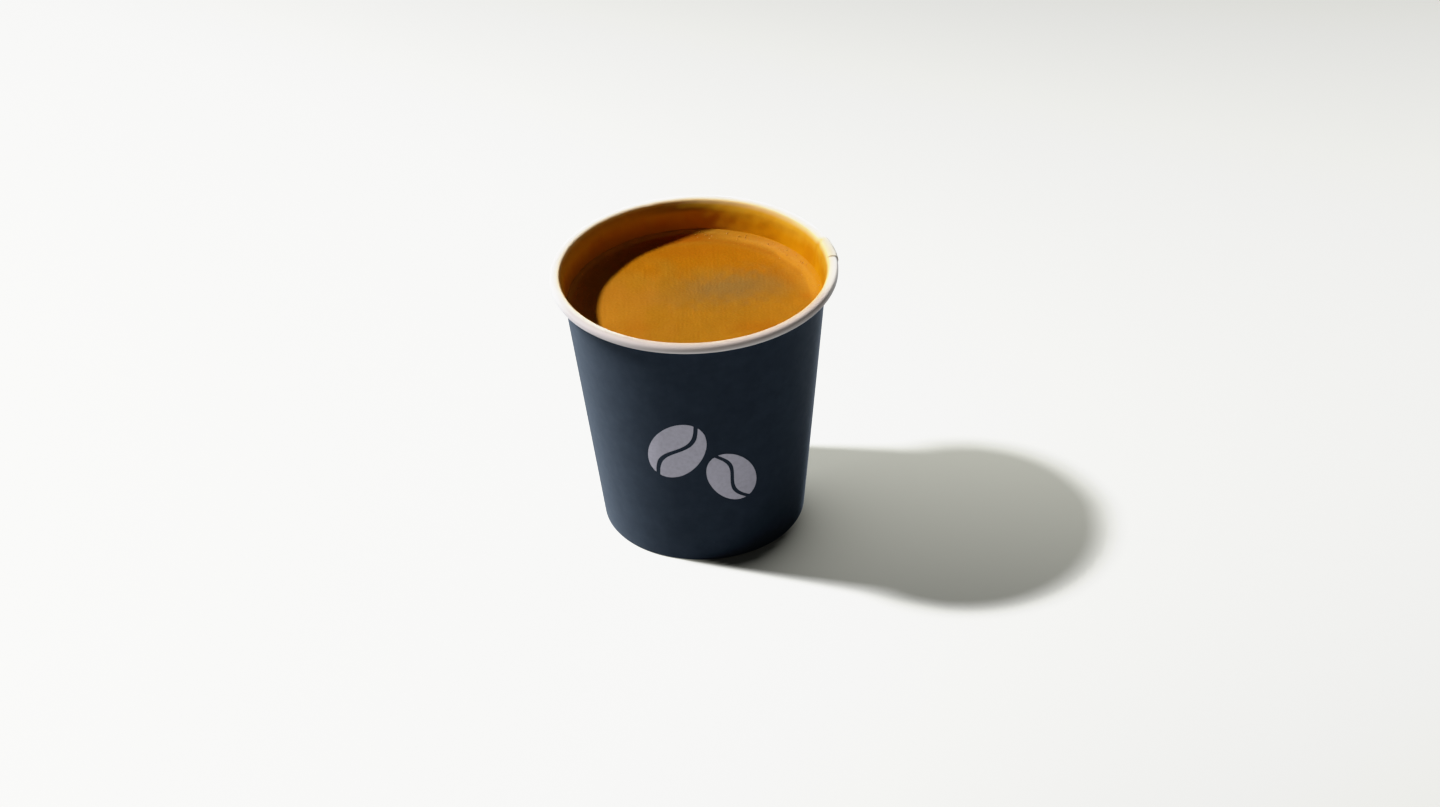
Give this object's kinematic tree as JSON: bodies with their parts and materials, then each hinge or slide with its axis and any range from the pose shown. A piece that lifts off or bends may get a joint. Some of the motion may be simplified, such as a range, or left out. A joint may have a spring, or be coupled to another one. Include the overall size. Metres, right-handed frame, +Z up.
{
  "type": "espresso shot",
  "caption": "Espresso shot topped with golden crema in a small single-wall paper cup with a dark printed wall, a rolled white rim and a recessed base.",
  "frame": {"origin": "centre of the cup's foot, on the surface that the cup stands on", "axes": "+Z up along the cup's axis, -Y towards the front of the print, +X towards the side seam"},
  "size_m": [0.0626, 0.0624, 0.0622],
  "materials": {
    "printed_board": "dark navy matt print on white coated board, bare white on the rolled rim and inside",
    "white_board": "white coated paper board, satin",
    "coffee": "dark brown espresso, liquid",
    "crema": "golden brown foam with a faint wet sheen"
  },
  "bodies": {
    "root": {"cup_wall": "printed_board", "base_disc": "white_board", "espresso": "coffee", "crema": "crema"}
  },
  "joints": []
}
